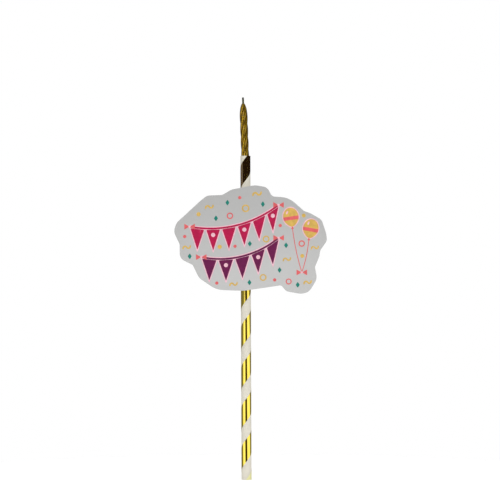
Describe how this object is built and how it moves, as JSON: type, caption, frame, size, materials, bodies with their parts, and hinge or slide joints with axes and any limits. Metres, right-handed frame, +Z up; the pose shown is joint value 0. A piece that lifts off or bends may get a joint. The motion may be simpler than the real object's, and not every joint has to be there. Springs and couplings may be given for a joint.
{
  "type": "cake topper candle",
  "caption": "Twisted candle in the mouth of a spiral-striped paper straw, with a cloud-shaped printed plaque taped to its front; the straw is pushed into a cake as a stake.",
  "frame": {"origin": "middle of the straw's lower end", "axes": "+Z up along the straw, +X to the right as the plaque is seen from the front, -Y the way the plaque faces"},
  "size_m": [0.0924, 0.0078, 0.2325],
  "materials": {
    "straw_paper": "matte",
    "ply_paper": "matte",
    "gold_foil": "polished",
    "gold_wax": "satin",
    "wick_cotton": "matte",
    "plaque_print_sheet": "satin",
    "plaque_board": "matte",
    "plaque_back_paper": "matte",
    "foam_tape": "matte"
  },
  "bodies": {
    "topper": {"straw_inner_ply": "ply_paper", "straw_middle_ply": "ply_paper", "straw_outer_ply": "straw_paper", "foil_stripe": "gold_foil", "plaque_back_sheet": "plaque_back_paper", "plaque_core_board": "plaque_board", "plaque_face_sheet": "plaque_print_sheet", "foam_pad_upper": "foam_tape", "foam_pad_lower": "foam_tape"},
    "candle": {"candle_wax": "gold_wax", "candle_wick": "wick_cotton"}
  },
  "joints": [
    {"name": "candle_pull", "type": "slide", "parent": "topper", "child": "candle", "axis": [-0.035, 0, 0.9994], "range_m": [0, 0.012]}
  ]
}
